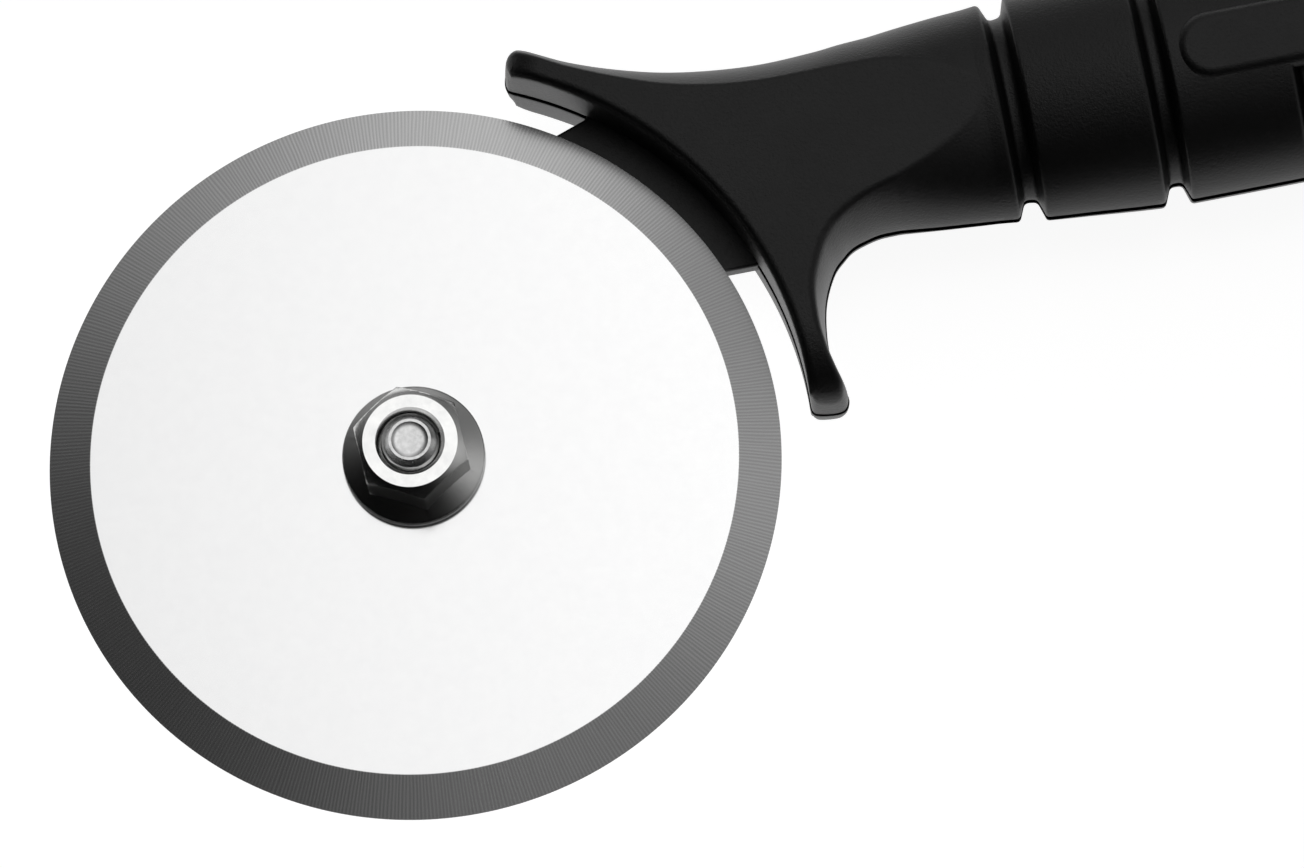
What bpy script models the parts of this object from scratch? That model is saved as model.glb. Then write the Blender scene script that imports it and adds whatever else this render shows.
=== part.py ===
# Rotary pizza knife: a bevelled steel wheel on a bolt, carried by an arm of a two-piece moulded
# handle with a guard. It is modelled lying on its back. The origin is on the wheel's axis, in the
# plane it lies on; +Z runs along the axis to the nut and +X along the handle to its butt.

import math

import bmesh
import bpy
from mathutils import Matrix, Vector

# Driving dimensions, in metres unless a name says otherwise

CLEARANCE = 0.0003            # gap between pieces that touch or turn on each other

BLADE_RADIUS = 0.0460
BLADE_THICKNESS = 0.0023
BEVEL_WIDTH = 0.0053
EDGE_LAND = 0.0002            # thickness left at the cutting edge
ARM_GAP = 0.0015              # space between the arm and the back of the blade

HEX_ACROSS_FLATS = 0.0130
HEX_CHAMFER_RADIUS = 0.0061   # flat circle left on the faces of the nut and of the bolt head
HEX_CHAMFER_DEG = 30.0
HEAD_HEIGHT = 0.0053
BOLT_RADIUS = 0.0040
THREAD_RADIUS = 0.0036
BOLT_PROUD = 0.0007           # how far the bolt's end stands out of the nut
BOLT_END_RADIUS = 0.0029
BOLT_CHAMFER = 0.0009
NUT_HEIGHT = 0.0080
NUT_TURN_DEG = -27.0          # where one of the nut's corners points
NUT_COUNTERSINK = 0.00045
COUNTERSINK_DEPTH = 0.0007
FLANGE_RADIUS = 0.00895
FLANGE_RIM = 0.0011
FLANGE_ROUNDING = 0.0002
FLANGE_HEIGHT = 0.0025        # where its cone meets the hexagon
FLANGE_TOP_RADIUS = 0.0061

SLEEVE_WALL = 0.0012
WASHER_RADIUS = 0.0100

HUB_THICKNESS = 0.0057        # arm between the bolt head and the blade side
HUB_RADIUS = 0.0115
POCKET_DEPTH = 0.0030
ARM_THICKNESS = 0.0030
ARM_LOWER_EDGE = 0.0170       # height of the arm's straight lower edge above the wheel's axis
ARM_UPPER_DEG = 54.1          # where the arm's upper edge leaves the guard
ARM_ROOT = 0.0025             # how deep the arm reaches into the guard
RIB_WIDTH = 0.0032
RIB_START = 0.0098            # distance of the stiffening rib's inner end from the axis

GUARD_CLEARANCE = 0.0040      # space between the cutting edge and the guard
GUARD_FRONT = 0.0090          # height of the guard's faces from the parting plane
GUARD_BACK = 0.0073
GUARD_CROWN = 1.333           # crown of the flank's ellipse over the height of the face
WALL_FLANK = 0.0004           # how far the guard's inner wall leans out to its faces
WALL_LEAD_DEG = 0.9           # angle from the ends of the horns' edges to that plain wall
BACK_ROUNDING = 0.35          # by what share the guard's flanks are wider on its back
BACK_FADE = 0.0100            # length over which that runs out towards the neck

AXIS_OFFSET = 0.03085         # handle axis above the wheel's axis
GRIP_FRONT = 0.0113
GRIP_HALF_WIDTH = 0.0160
BUTT_HALF_WIDTH = 0.0169
GRIP_LENGTH = 0.1340          # from the guard's inner wall to the butt
BUTT_ROUNDING = 0.0060
BUTT_FACE = 0.62              # share of the grip's section left on the butt's flat end

GROOVE_COUNT = 5
GROOVE_START = 0.0324         # first groove's centre, from the guard's inner wall
GROOVE_PITCH = 0.0184
GROOVE_WIDTH = 0.0036
GROOVE_FLOOR = 0.0018
GROOVE_DEPTH = 0.0022

BADGE_LENGTH = 0.0290
BADGE_WIDTH = 0.0094
BADGE_PROUD = 0.0004
BADGE_BEVEL = 0.0005

WALL = 0.0024                 # moulded wall over the hollow
THIN_WALL = 0.0018            # what is left of it behind the first groove
POCKET_WALL = 0.0030          # wall left between the wheel's gap and the hollow
HOLLOW_LEAD = 0.0120          # how far the hollow starts ahead of the tongue's end

SCREW_RADIUS = 0.0020
SCREW_LENGTH = 0.0105
SCREW_TIP_LENGTH = 0.0015
SCREW_TIP_RADIUS = 0.0008
SCREW_HEAD_RADIUS = 0.0035
SCREW_HEAD_HEIGHT = 0.0024
SCREW_HEAD_EDGE = 0.0015      # height of the head's straight side
SCREW_CROWN_RADIUS = 0.0025
RECESS_LENGTH = 0.0035
RECESS_WIDTH = 0.0009
RECESS_DEPTH = 0.0014
SCREW_SEAT = 0.0043           # depth of the heads' seats behind the parting plane
BOSS_RADIUS = 0.0055
GUARD_SCREW = (-0.0100, 0.0078)   # from where the handle's axis meets the guard's inner wall
NECK_SCREW = (0.0042, -0.0105)
BUTT_SCREW = 0.0140           # from the butt

ROWS = 6                      # facets from the parting plane to the crown
WALL_STEPS = 15
HORN_STEPS = 2
ROUND_STEPS = 96
FLANGE_STEPS = 64
SMALL_STEPS = 40
SCREW_STEPS = 20
BADGE_STEPS = 32

# The horns. Each row holds a point of the edge in the parting plane and the point of the flat
# face's edge that it rises to, both as angle about the wheel and thickness over the inner wall.
LOWER_HORN = [((15.9, 0.0124), (19.0, 0.0133)), ((15.35, 0.0101), (18.3, 0.0102)),
              ((14.1, 0.0081), (16.6, 0.0076)), ((11.0, 0.0054), (12.2, 0.0042)),
              ((7.0, 0.00425), (7.6, 0.0031)), ((3.0, 0.0040), (3.4, 0.0030)),
              ((0.3, 0.0046), (0.8, 0.0034)), ((-1.9, 0.0050), (-1.0, 0.0037)),
              ((-3.2, 0.0044), (-2.2, 0.0034)), ((-3.85, 0.0030), (-2.8, 0.0026)),
              ((-3.9, 0.0011), (-2.8, 0.0014)), ((-3.2, 0.0001), (-2.3, 0.0006))]
UPPER_HORN = [((66.6, 0.0003), (65.5, 0.0009)), ((67.15, 0.0018), (65.7, 0.0017)),
              ((67.2, 0.0039), (65.4, 0.0025)), ((66.8, 0.00485), (64.9, 0.0029)),
              ((65.9, 0.00545), (64.1, 0.0030)), ((64.4, 0.00565), (62.9, 0.0030)),
              ((61.0, 0.0057), (60.2, 0.0030)), ((56.3, 0.0062), (55.0, 0.0031)),
              ((51.2, 0.0079), (49.7, 0.0045)), ((46.7, 0.0105), (44.6, 0.0069)),
              ((42.2, 0.0145), (39.9, 0.0106)), ((38.6, 0.0189), (35.5, 0.0163))]

# The arm's two edges behind the wheel, between the hub and the guard
ARM_LOWER_SIDE = [(0.0350, ARM_LOWER_EDGE), (0.0240, 0.0133), (0.0165, 0.0071)]
ARM_UPPER_SIDE = [(-0.0113, 0.0020), (-0.0124, 0.0100), (-0.0104, 0.0190), (-0.0023, 0.0280),
                  (0.0108, 0.0343), (0.0233, 0.0387)]

# The hollow in the neck, from where the handle's axis meets the guard's inner wall
NECK_HOLLOW = [(-0.0050, 0.0072), (0.0240, 0.0060), (0.0240, -0.0060), (0.0100, -0.0080),
               (0.0050, -0.0125)]
NECK_HOLLOW_DEG = (19.0, 26.0, 33.0, 40.0, 46.0)

# The neck and grip: distance from the guard's inner wall, half width, front and back crown
NECK_START = 0.0120
TONGUE_END = 0.0286           # where the guard's flat faces run out on the grip
NECK_SECTIONS = [(NECK_START, 0.01270, GUARD_FRONT * GUARD_CROWN, GUARD_BACK * GUARD_CROWN),
                 (0.0160, 0.01295, 0.0110, 0.0089),
                 (0.0206, 0.01340, 0.0101, 0.0082),
                 (0.0250, 0.01370, 0.0094, 0.00765),
                 (TONGUE_END, 0.01400, GUARD_FRONT, GUARD_BACK)]

# What follows from them

pocket_floor = HEAD_HEIGHT + CLEARANCE
seam_z = pocket_floor + HUB_THICKNESS
blade_z = seam_z + ARM_GAP
nut_z = blade_z + BLADE_THICKNESS + CLEARANCE
bolt_top = nut_z + NUT_HEIGHT + BOLT_PROUD
bore_radius = BOLT_RADIUS + CLEARANCE
sleeve_radius = bore_radius + SLEEVE_WALL
guard_radius = BLADE_RADIUS + GUARD_CLEARANCE
grip_back = seam_z
hub_bottom = pocket_floor - POCKET_DEPTH
seat_z = seam_z - SCREW_SEAT
screw_top = seat_z + SCREW_LENGTH
butt_x = guard_radius + GRIP_LENGTH
groove_centres = [GROOVE_START + GROOVE_PITCH * i for i in range(GROOVE_COUNT)]
badge_x = guard_radius + groove_centres[GROOVE_COUNT // 2]
land_shift = 0.5 * GROOVE_PITCH
hex_corner = HEX_ACROSS_FLATS / math.sqrt(3.0)

grip_sections = NECK_SECTIONS + [
    (0.0340, 0.01465, 0.0096, 0.0083),
    (0.0400, 0.01515, 0.0103, 0.0096),
    (0.0470, 0.01575, 0.0110, 0.0108),
    (0.0520, GRIP_HALF_WIDTH, GRIP_FRONT, grip_back),
    (GRIP_LENGTH - 0.0280, GRIP_HALF_WIDTH, GRIP_FRONT, grip_back),
    (GRIP_LENGTH - 0.0120, BUTT_HALF_WIDTH, GRIP_FRONT, grip_back),
    (GRIP_LENGTH, BUTT_HALF_WIDTH, GRIP_FRONT, grip_back)]

screw_places = [Vector((guard_radius + GUARD_SCREW[0], AXIS_OFFSET + GUARD_SCREW[1])),
                Vector((guard_radius + NECK_SCREW[0], AXIS_OFFSET + NECK_SCREW[1])),
                Vector((guard_radius + groove_centres[0] + land_shift, AXIS_OFFSET)),
                Vector((guard_radius + groove_centres[-2] - land_shift, AXIS_OFFSET)),
                Vector((butt_x - BUTT_SCREW, AXIS_OFFSET))]


def clear_scene():
    for item in list(bpy.data.objects):
        bpy.data.objects.remove(item, do_unlink=True)


def new_collection(name):
    group = bpy.data.collections.new(name)
    bpy.context.scene.collection.children.link(group)
    return group


def finish_material(name, colour, metallic, roughness):
    material = bpy.data.materials.new(name)
    material.use_nodes = True
    shader = material.node_tree.nodes["Principled BSDF"]
    shader.inputs["Base Color"].default_value = (*colour, 1.0)
    shader.inputs["Metallic"].default_value = metallic
    shader.inputs["Roughness"].default_value = roughness
    material.diffuse_color = (*colour, 1.0)
    return material


def add_object(name, mesh, group, material=None):
    item = bpy.data.objects.new(name, mesh)
    group.objects.link(item)
    if material:
        mesh.materials.clear()
        mesh.materials.append(material)
    if group is cutters:
        item.hide_render = True
        item.display_type = "WIRE"
    return item


def mesh_from_bmesh(name, work):
    bmesh.ops.recalc_face_normals(work, faces=work.faces)
    mesh = bpy.data.meshes.new(name)
    work.to_mesh(mesh)
    work.free()
    return mesh


def turned(name, profile, group, material=None, steps=SMALL_STEPS):
    """A profile of (radius, height) points, listed down its outer side, turned about Z."""
    mesh = bpy.data.meshes.new(name)
    count = len(profile)
    on_axis = profile[0][0] == 0.0
    edges = [(i, (i + 1) % count) for i in range(count - 1 if on_axis else count)]
    mesh.from_pydata([(radius, 0.0, height) for radius, height in profile], edges, [])
    item = add_object(name, mesh, group, material)
    screw = item.modifiers.new("Turn", "SCREW")
    screw.steps = steps
    screw.render_steps = steps
    screw.use_merge_vertices = True
    screw.merge_threshold = 0.00001
    return item


def hexagon(name, across_flats, low, high, turn_deg, group, material=None):
    """A hexagonal bar with a corner at the given angle; an unturned one has a corner on +Y."""
    work = bmesh.new()
    radius = across_flats / math.sqrt(3.0)
    place = (Matrix.Translation((0.0, 0.0, 0.5 * (low + high)))
             @ Matrix.Rotation(math.radians(turn_deg - 90.0), 4, "Z"))
    bmesh.ops.create_cone(work, cap_ends=True, segments=6, radius1=radius, radius2=radius,
                          depth=high - low, matrix=place)
    return add_object(name, mesh_from_bmesh(name, work), group, material)


def flat_plate(name, outline, low, high, group):
    """A closed 2D outline extruded between two heights, as a welded mesh."""
    curve = bpy.data.curves.new(name + "_outline", "CURVE")
    curve.dimensions = "2D"
    curve.fill_mode = "BOTH"
    curve.extrude = 0.5 * (high - low)
    spline = curve.splines.new("POLY")
    spline.points.add(len(outline) - 1)
    for point, place in zip(spline.points, outline):
        point.co = (place[0], place[1], 0.0, 1.0)
    spline.use_cyclic_u = True
    source = bpy.data.objects.new(name + "_outline", curve)
    source.location.z = 0.5 * (low + high)
    group.objects.link(source)
    bpy.context.view_layer.update()
    depsgraph = bpy.context.evaluated_depsgraph_get()
    mesh = bpy.data.meshes.new_from_object(source.evaluated_get(depsgraph))
    mesh.transform(source.matrix_world)
    work = bmesh.new()
    work.from_mesh(mesh)
    bmesh.ops.remove_doubles(work, verts=work.verts, dist=0.00001)
    bmesh.ops.recalc_face_normals(work, faces=work.faces)
    work.to_mesh(mesh)
    work.free()
    bpy.data.objects.remove(source, do_unlink=True)
    return add_object(name, mesh, group)


def combine(target, tool, operation, solver="EXACT"):
    """Joins, cuts or trims the target with the tool."""
    change = target.modifiers.new(operation.title() + "_" + tool.name, "BOOLEAN")
    change.operation = operation
    change.solver = solver
    change.object = tool


def smooth_path(points, per_span):
    """A Catmull-Rom curve through the points, which may have any number of values each."""
    points = [Vector(point) for point in points]
    path = []
    for i in range(len(points) - 1):
        before = points[max(i - 1, 0)]
        start = points[i]
        end = points[i + 1]
        after = points[min(i + 2, len(points) - 1)]
        for step in range(per_span):
            t = step / per_span
            path.append(0.5 * (2.0 * start + (end - before) * t
                               + (2.0 * before - 5.0 * start + 4.0 * end - after) * t ** 2
                               + (3.0 * start - before - 3.0 * end + after) * t ** 3))
    path.append(points[-1])
    return path


def section_at(along):
    """Half width, front crown and back crown of the grip, eased between its sections."""
    last = len(grip_sections) - 1
    i = 0
    while i < last - 1 and along > grip_sections[i + 1][0]:
        i += 1
    span = grip_sections[i + 1][0] - grip_sections[i][0]
    t = (along - grip_sections[i][0]) / span
    values = []
    for column in (1, 2, 3):
        slopes = []
        for j in (i, i + 1):
            left = grip_sections[max(j - 1, 0)]
            right = grip_sections[min(j + 1, last)]
            slopes.append((right[column] - left[column]) / (right[0] - left[0]) * span)
        start = grip_sections[i][column]
        end = grip_sections[i + 1][column]
        values.append((2 * t ** 3 - 3 * t ** 2 + 1) * start + (t ** 3 - 2 * t ** 2 + t) * slopes[0]
                      + (3 * t ** 2 - 2 * t ** 3) * end + (t ** 3 - t ** 2) * slopes[1])
    return values


def grip_stations():
    """Places along the grip, each with how deep its section is drawn in and its end scale."""
    stations = [(section[0], 0.0, 1.0) for section in NECK_SECTIONS]
    for i, centre in enumerate(groove_centres):
        stations.append((centre - 0.5 * GROOVE_WIDTH, 0.0, 1.0))
        stations.append((centre - 0.5 * GROOVE_FLOOR, GROOVE_DEPTH, 1.0))
        stations.append((centre + 0.5 * GROOVE_FLOOR, GROOVE_DEPTH, 1.0))
        stations.append((centre + 0.5 * GROOVE_WIDTH, 0.0, 1.0))
        if i == 0:
            stations.append((centre + land_shift, 0.0, 1.0))
    stations.append((GRIP_LENGTH - 2.0 * BUTT_ROUNDING, 0.0, 1.0))
    for angle in (0.0, 35.0, 60.0, 80.0, 90.0):
        turn = math.radians(angle)
        stations.append((GRIP_LENGTH - BUTT_ROUNDING * (1.0 - math.sin(turn)), 0.0,
                         BUTT_FACE + (1.0 - BUTT_FACE) * math.cos(turn)))
    return stations


def grip_column(station, side, front):
    """One column of the grip: its edge, the edge of its face, the face's height and the crown."""
    along, drawn_in, scale = station
    half_width, front_crown, back_crown = section_at(along)
    crown = (front_crown if front else back_crown) * scale - drawn_in
    half_width = half_width * scale - drawn_in
    face = GUARD_FRONT if front else GUARD_BACK
    face_half_width = 0.0
    if along < TONGUE_END:
        face_half_width = half_width * math.sqrt(1.0 - (face / crown) ** 2)
    else:
        face = crown
    edge = Vector((guard_radius + along, AXIS_OFFSET + side * half_width))
    face_edge = Vector((edge.x, AXIS_OFFSET + side * face_half_width))
    return edge, face_edge, face, crown


def round_wheel(angle_deg, thickness):
    """A point of the guard, by its angle and its distance outside the inner wall."""
    turn = math.radians(angle_deg)
    radius = guard_radius + thickness
    return Vector((radius * math.cos(turn), radius * math.sin(turn)))


def guard_outline():
    """Pairs of edge and face edge, from the neck's lower side round the guard to its upper side."""
    def row(edge, face_edge):
        return (*edge, *face_edge)

    start = (NECK_START, 0.0, 1.0)
    lower_horn = [row(round_wheel(*edge), round_wheel(*face)) for edge, face in LOWER_HORN]
    upper_horn = [row(round_wheel(*edge), round_wheel(*face)) for edge, face in UPPER_HORN]
    lower = smooth_path([row(*grip_column(start, -1.0, True)[:2])] + lower_horn, HORN_STEPS)
    upper = smooth_path(upper_horn + [row(*grip_column(start, 1.0, True)[:2])], HORN_STEPS)
    first = LOWER_HORN[-1][0][0] + WALL_LEAD_DEG
    last = UPPER_HORN[0][0][0] - WALL_LEAD_DEG
    wall = []
    for i in range(WALL_STEPS + 1):
        angle = first + (last - first) * i / WALL_STEPS
        wall.append(row(round_wheel(angle, 0.0), round_wheel(angle, WALL_FLANK)))
    points = lower[1:] + [Vector(point) for point in wall] + upper[:-1]
    return [(Vector(point[:2]), Vector(point[2:])) for point in points]


def handle_half(front):
    """One solid half of the handle, from the parting plane to its crowned outside."""
    stations = grip_stations()
    face = GUARD_FRONT if front else GUARD_BACK
    outline = guard_outline()
    columns = [grip_column(station, -1.0, front) for station in reversed(stations)]
    for edge, face_edge in outline:
        fade = min((guard_radius + NECK_START - edge.x) / BACK_FADE, 1.0)
        widening = 1.0 if front else 1.0 + BACK_ROUNDING * fade
        columns.append((edge, edge.lerp(face_edge, widening), face, face * GUARD_CROWN))
    columns += [grip_column(station, 1.0, front) for station in stations]

    sign = 1.0 if front else -1.0
    base = CLEARANCE if front else 0.0
    work = bmesh.new()
    grid = []
    for edge, face_edge, height, crown in columns:
        first = math.asin(base / crown)
        last = math.asin(min(height / crown, 1.0))
        column = []
        for row in range(ROWS + 1):
            angle = first + (last - first) * row / ROWS
            spot = edge.lerp(face_edge, (1.0 - math.cos(angle)) / (1.0 - math.cos(last)))
            column.append(work.verts.new((spot.x, spot.y, seam_z + sign * crown * math.sin(angle))))
        grid.append(column)
    for left, right in zip(grid, grid[1:]):
        for row in range(ROWS):
            work.faces.new((left[row], right[row], right[row + 1], left[row + 1]))
    work.faces.new([column[0] for column in grid])
    work.faces.new(grid[0] + grid[-1][::-1])
    tongue = len(stations) - len(NECK_SECTIONS)
    work.faces.new([column[ROWS] for column in grid[tongue:len(grid) - tongue]])
    bmesh.ops.remove_doubles(work, verts=work.verts, dist=0.000002)
    return mesh_from_bmesh("handle_half", work)


def hollow_cutter():
    """The space inside the grip and the neck, less the screws' bosses."""
    start = guard_radius + TONGUE_END - HOLLOW_LEAD
    end = butt_x - BUTT_ROUNDING - WALL
    radius = GRIP_HALF_WIDTH - GROOVE_DEPTH - WALL
    flatten = (min(GRIP_FRONT, grip_back) - GROOVE_DEPTH - WALL) / radius
    waist = (section_at(groove_centres[0])[2] - GROOVE_DEPTH - THIN_WALL) / flatten
    waist_end = guard_radius + groove_centres[0] + GROOVE_WIDTH - start
    widened = guard_radius + groove_centres[1] - GROOVE_WIDTH - start
    length = end - start
    profile = [(0.0, length), (radius - BUTT_ROUNDING, length), (radius, length - BUTT_ROUNDING),
               (radius, widened), (waist, waist_end), (waist, 0.0), (0.0, 0.0)]
    hollow = turned("hollow", profile, cutters)
    hollow.matrix_world = (Matrix.Translation((start, AXIS_OFFSET, seam_z))
                           @ Matrix.Diagonal((1.0, 1.0, flatten, 1.0))
                           @ Matrix.Rotation(math.radians(90.0), 4, "Y"))
    outline = [tuple(round_wheel(angle, POCKET_WALL)) for angle in NECK_HOLLOW_DEG]
    outline += [(guard_radius + along, AXIS_OFFSET + across) for along, across in NECK_HOLLOW]
    pocket = flat_plate("guard_pocket", outline, seam_z - GUARD_BACK + WALL,
                        seam_z + GUARD_FRONT - WALL, cutters)
    combine(hollow, pocket, "UNION")
    for i, place in enumerate(screw_places):
        reach = 2.0 * GRIP_FRONT
        boss = turned("boss_%d" % (i + 1), [(0.0, reach), (BOSS_RADIUS, reach),
                                            (BOSS_RADIUS, 0.0), (0.0, 0.0)], cutters,
                      steps=SCREW_STEPS)
        boss.location = (place.x, place.y, seam_z - GRIP_FRONT)
        combine(hollow, boss, "DIFFERENCE")
    return hollow


def screw_bore(i, place):
    """Counterbore from the back, clearance hole to the parting plane, pilot hole above it."""
    hole = SCREW_RADIUS + CLEARANCE
    sink = SCREW_HEAD_RADIUS + 2.0 * CLEARANCE
    top = screw_top + CLEARANCE
    bottom = -WALL
    bore = turned("screw_bore_%d" % (i + 1), [(0.0, top), (hole, top), (hole, seat_z),
                                              (sink, seat_z), (sink, bottom), (0.0, bottom)],
                  cutters, steps=SCREW_STEPS)
    bore.location = (place.x, place.y, 0.0)
    return bore


def arm_outline():
    """The arm behind the wheel, from its root in the guard round the hub and back."""
    root = guard_radius + ARM_ROOT
    lower_root = (math.sqrt(root ** 2 - ARM_LOWER_EDGE ** 2), ARM_LOWER_EDGE)
    edge = round_wheel(ARM_UPPER_DEG, 0.0)
    lower_side = smooth_path([lower_root] + ARM_LOWER_SIDE + [(HUB_RADIUS, -0.1 * HUB_RADIUS)], 4)
    upper_side = smooth_path(ARM_UPPER_SIDE + [edge], 4)
    first = ARM_UPPER_DEG + 1.0
    last = math.degrees(math.atan2(lower_root[1], lower_root[0]))
    steps = WALL_STEPS // 2
    root_arc = [round_wheel(first + (last - first) * i / steps, ARM_ROOT) for i in range(steps)]
    return [tuple(point) for point in lower_side + upper_side + root_arc]


def build_handle():
    front = add_object("handle_front_shell", handle_half(True), parts, black_nylon)
    back = add_object("handle_back_shell", handle_half(False), parts, black_nylon)

    straight = 0.5 * (BADGE_LENGTH - BADGE_WIDTH)
    outline = []
    for i in range(BADGE_STEPS):
        turn = 2.0 * math.pi * (i + 0.5) / BADGE_STEPS
        shift = math.copysign(straight, math.cos(turn))
        outline.append((badge_x + shift + 0.5 * BADGE_WIDTH * math.cos(turn),
                        AXIS_OFFSET + 0.5 * BADGE_WIDTH * math.sin(turn)))
    badge = flat_plate("badge_pad", outline, seam_z + GRIP_FRONT - GROOVE_DEPTH - 0.5 * WALL,
                       seam_z + GRIP_FRONT + BADGE_PROUD, cutters)
    rounding = badge.modifiers.new("Edge", "BEVEL")
    rounding.width = BADGE_BEVEL
    rounding.segments = 2
    rounding.limit_method = "ANGLE"
    rounding.angle_limit = math.radians(60.0)
    combine(front, badge, "UNION")

    arm = flat_plate("arm_plate", arm_outline(), seam_z - ARM_THICKNESS, seam_z, cutters)
    hub = turned("hub", [(0.0, seam_z), (HUB_RADIUS, seam_z), (HUB_RADIUS, hub_bottom),
                         (0.0, hub_bottom)], cutters)
    middle = math.radians(0.5 * (ARM_UPPER_DEG
                                 + math.degrees(math.asin(ARM_LOWER_EDGE / guard_radius))))
    rib_end = guard_radius + 0.5 * ARM_ROOT
    rib_low = seam_z - GUARD_BACK + 0.5 * ARM_THICKNESS
    rib_high = seam_z - 0.5 * ARM_THICKNESS
    work = bmesh.new()
    shape = (Matrix.Rotation(middle, 4, "Z")
             @ Matrix.Translation((0.5 * (RIB_START + rib_end), 0.0, 0.5 * (rib_low + rib_high)))
             @ Matrix.Diagonal((rib_end - RIB_START, RIB_WIDTH, rib_high - rib_low, 1.0)))
    bmesh.ops.create_cube(work, size=1.0, matrix=shape)
    rib = add_object("arm_rib", mesh_from_bmesh("arm_rib", work), cutters)
    # The exact solver leaves open edges on this shell
    for tool in (arm, hub, rib):
        combine(back, tool, "UNION", "MANIFOLD")

    hub_bore = turned("hub_bore", [(0.0, seam_z + WALL), (bore_radius, seam_z + WALL),
                                   (bore_radius, 0.0), (0.0, 0.0)], cutters)
    pocket = hexagon("head_pocket", HEX_ACROSS_FLATS + 2.0 * CLEARANCE, 0.0, pocket_floor,
                     0.0, cutters)
    hollow = hollow_cutter()
    bores = [screw_bore(i, place) for i, place in enumerate(screw_places)]
    for tool in [hub_bore, pocket, hollow] + bores:
        combine(back, tool, "DIFFERENCE", "MANIFOLD")
    for tool in [hollow] + bores:
        combine(front, tool, "DIFFERENCE")


def build_screws():
    """Pan-head thread-forming screws with a cross recess, all alike."""
    straight = SCREW_LENGTH - SCREW_TIP_LENGTH
    first = turned("shell_screw_1", [(0.0, SCREW_LENGTH), (SCREW_TIP_RADIUS, SCREW_LENGTH),
                                     (SCREW_RADIUS, straight), (SCREW_RADIUS, -CLEARANCE),
                                     (SCREW_HEAD_RADIUS, -CLEARANCE),
                                     (SCREW_HEAD_RADIUS, -SCREW_HEAD_EDGE),
                                     (SCREW_CROWN_RADIUS, -SCREW_HEAD_HEIGHT),
                                     (0.0, -SCREW_HEAD_HEIGHT)],
                   parts, screw_steel, steps=SCREW_STEPS)
    slots = []
    for length, width in ((RECESS_LENGTH, RECESS_WIDTH), (RECESS_WIDTH, RECESS_LENGTH)):
        work = bmesh.new()
        shape = (Matrix.Translation((0.0, 0.0, -SCREW_HEAD_HEIGHT))
                 @ Matrix.Diagonal((length, width, 2.0 * RECESS_DEPTH, 1.0)))
        bmesh.ops.create_cube(work, size=1.0, matrix=shape)
        slot = add_object("recess_slot_%d" % (len(slots) + 1), mesh_from_bmesh("slot", work), cutters)
        combine(first, slot, "DIFFERENCE")
        slots.append(slot)
    bpy.context.view_layer.update()
    depsgraph = bpy.context.evaluated_depsgraph_get()
    finished = bpy.data.meshes.new_from_object(first.evaluated_get(depsgraph))
    first.modifiers.clear()
    first.data = finished
    for slot in slots:
        bpy.data.objects.remove(slot, do_unlink=True)
    screws = [first]
    for i in range(1, len(screw_places)):
        screw = first.copy()
        screw.name = "shell_screw_%d" % (i + 1)
        parts.objects.link(screw)
        screws.append(screw)
    for screw, place in zip(screws, screw_places):
        screw.location = (place.x, place.y, seat_z)


def build_blade():
    """The wheel, bevelled on the nut's side only, with its origin on its axis."""
    bore = sleeve_radius + CLEARANCE
    profile = [(bore, BLADE_THICKNESS), (BLADE_RADIUS - BEVEL_WIDTH, BLADE_THICKNESS),
               (BLADE_RADIUS, EDGE_LAND), (BLADE_RADIUS, 0.0), (bore, 0.0)]
    blade = turned("blade", profile, parts, blade_steel, ROUND_STEPS)
    blade.location = (0.0, 0.0, blade_z)


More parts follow.
